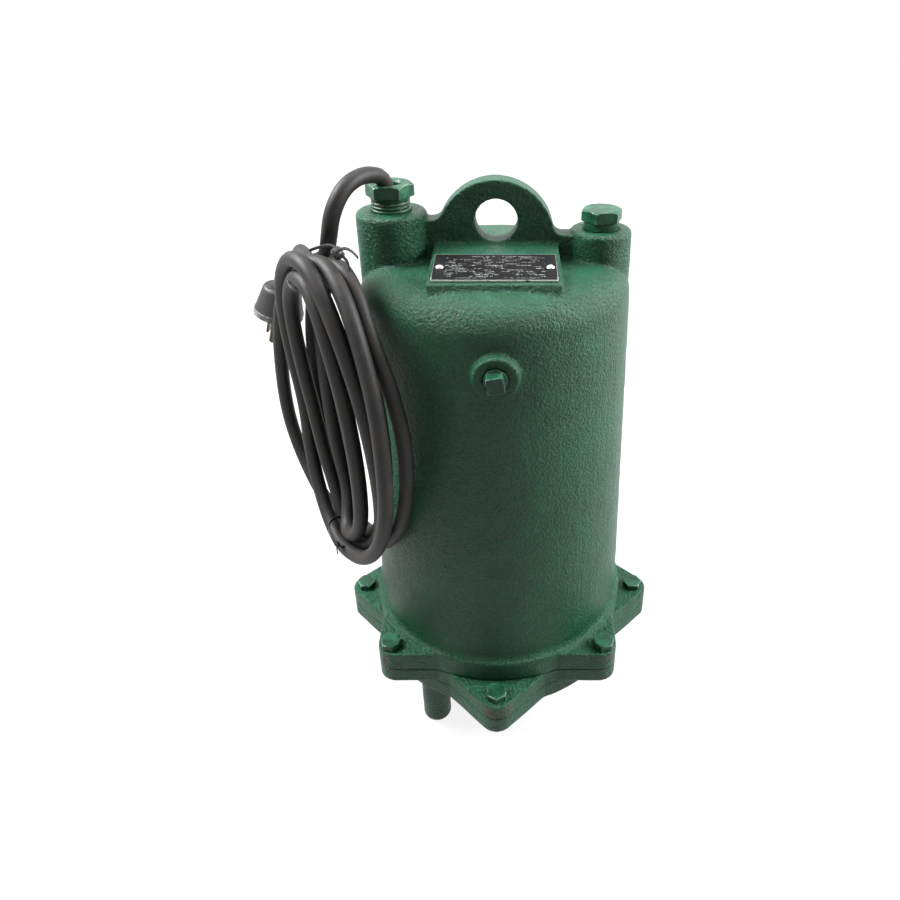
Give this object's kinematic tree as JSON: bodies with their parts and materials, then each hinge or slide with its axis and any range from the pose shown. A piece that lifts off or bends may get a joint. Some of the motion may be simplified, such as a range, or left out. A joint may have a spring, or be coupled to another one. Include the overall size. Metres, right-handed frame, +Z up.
{
  "type": "submersible sump pump",
  "caption": "Upright cast-iron submersible sump pump with a bolted star flange stack, lifting eye, vertical discharge, short legs and a coiled power cord with its plug.",
  "frame": {"origin": "on the floor under the middle of the pump's footprint, from the front flange lobe to the back of the discharge boss, the cord left out of account", "axes": "+Z up along the shaft; the nameplate faces -Y, the cord gland is on the -X side; the shaft's axis is at x = 0, y = -18.1 mm"},
  "size_m": [0.2855, 0.2644, 0.3932],
  "materials": {
    "green_cast": "dark green satin paint over a sand-cast surface",
    "green_fitting": "dark green satin paint over steel, thin at the edges",
    "nameplate": "black anodised plate with bare metal bars, satin",
    "rivet": "bright drive rivet",
    "brass": "turned brass",
    "rubber": "matte black rubber",
    "cord_jacket": "satin black cord jacket, slightly dusty",
    "lamination": "stacked electrical steel",
    "copper_winding": "varnished copper winding",
    "steel": "plain steel",
    "bare_iron": "bare cast iron",
    "bearing_steel": "ground bearing steel",
    "cage_steel": "pressed steel",
    "cast_aluminium": "as cast",
    "ceramic": "lapped ceramic",
    "carbon": "carbon ring",
    "capacitor_can": "drawn can",
    "black_plastic": "moulded black plastic",
    "plug_face": "light grey moulded insert",
    "wire_insulation": "light wire insulation",
    "splice_plastic": "crimp sleeve",
    "tie_nylon": "black nylon"
  },
  "bodies": {
    "pump": {"motor_housing": "green_cast", "nameplate": "nameplate", "nameplate_rivets": "rivet", "oil_fill_plug": "green_fitting", "top_port_plug": "green_fitting", "gland_nut": "green_fitting", "gland_washer": "brass", "gland_grommet": "rubber", "cord_lead_in": "cord_jacket", "seal_housing": "green_cast", "housing_o_ring": "rubber", "volute_o_ring": "rubber", "housing_bolts": "green_fitting", "volute_bolts": "green_fitting", "volute_case": "green_cast", "stator_core": "lamination", "stator_windings": "copper_winding", "stator_bolts": "steel", "upper_bearing_bracket": "bare_iron", "bracket_screws": "steel", "upper_outer_race": "bearing_steel", "lower_outer_race": "bearing_steel", "bearing_retaining_ring": "steel", "wave_washer": "steel", "seal_seat_cup": "rubber", "seal_seat": "ceramic", "run_capacitor": "capacitor_can", "capacitor_clip": "steel", "capacitor_screws": "steel", "thermal_protector": "black_plastic", "lead_wires": "wire_insulation", "splice_sleeves": "splice_plastic", "power_cord": "cord_jacket", "cord_coil": "cord_jacket", "cord_tail": "cord_jacket", "plug_face": "plug_face", "plug_body": "black_plastic", "plug_blades": "brass", "plug_ground_pin": "brass", "cable_tie_top": "tie_nylon", "cable_tie_bottom": "tie_nylon"},
    "rotor": {"motor_shaft": "steel", "rotor_core": "lamination", "rotor_end_rings": "cast_aluminium", "upper_inner_race": "bearing_steel", "lower_inner_race": "bearing_steel", "seal_head": "carbon", "seal_spring": "steel", "impeller": "bare_iron", "impeller_washer": "brass", "impeller_nut": "brass", "shaft_key": "steel"},
    "upper_ball_set": {"upper_bearing_balls": "bearing_steel", "upper_bearing_cage": "cage_steel"},
    "lower_ball_set": {"lower_bearing_balls": "bearing_steel", "lower_bearing_cage": "cage_steel"}
  },
  "joints": [
    {"name": "rotor_spin", "type": "hinge", "parent": "pump", "child": "rotor", "pos_m": [0, -0.0181, 0.15], "axis": [0, 0, 1], "continuous": true},
    {"name": "upper_balls_roll", "type": "hinge", "parent": "pump", "child": "upper_ball_set", "pos_m": [0, -0.0181, 0.25], "axis": [0, 0, 1], "continuous": true},
    {"name": "lower_balls_roll", "type": "hinge", "parent": "pump", "child": "lower_ball_set", "pos_m": [0, -0.0181, 0.074], "axis": [0, 0, 1], "continuous": true}
  ],
  "couplings": [
    {"joint": "upper_balls_roll", "follows": "rotor_spin", "ratio": 0.382},
    {"joint": "lower_balls_roll", "follows": "rotor_spin", "ratio": 0.382}
  ]
}
